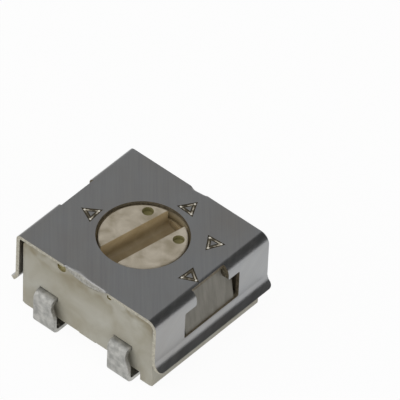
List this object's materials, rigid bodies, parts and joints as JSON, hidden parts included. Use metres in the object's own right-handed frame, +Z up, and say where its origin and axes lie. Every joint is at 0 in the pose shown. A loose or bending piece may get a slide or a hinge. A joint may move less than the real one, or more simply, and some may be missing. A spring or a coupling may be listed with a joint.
{
  "type": "trimmer potentiometer",
  "caption": "Square surface-mount trimmer potentiometer with a slotted rotor, a folded steel snap cover and J-hook terminals.",
  "frame": {"origin": "middle of the part's footprint, at the soles of the terminals", "axes": "+Z up out of the rotor's face along its axis, +X across the cover's two folded walls, +Y towards terminal 2, the wiper"},
  "size_m": [0.0046, 0.0042, 0.0023],
  "materials": {
    "moulded_housing": "moulded, glass filled, matt",
    "brushed_sheet": "brushed along the fold",
    "moulded_rotor": "moulded, satin",
    "seal_rubber": "smooth",
    "spring_alloy": "rolled and plated",
    "alumina": "fired ceramic",
    "cermet_film": "printed and fired",
    "conductor_film": "printed and fired",
    "tinned_strip": "tin plated"
  },
  "bodies": {
    "housing": {"body": "moulded_housing", "cover": "brushed_sheet", "seal_ring": "seal_rubber", "substrate": "alumina", "resistor_track": "cermet_film", "end_pad_1": "conductor_film", "end_pad_3": "conductor_film", "collector_pad": "conductor_film", "terminal_1": "tinned_strip", "terminal_2": "tinned_strip", "terminal_3": "tinned_strip"},
    "adjuster": {"rotor": "moulded_rotor", "wiper": "spring_alloy"}
  },
  "joints": [
    {"name": "rotor_turn", "type": "hinge", "parent": "housing", "child": "adjuster", "pos_m": [0, 0, 0.002], "axis": [0, 0, 1], "range_deg": [-109.7, 130.3]}
  ]
}
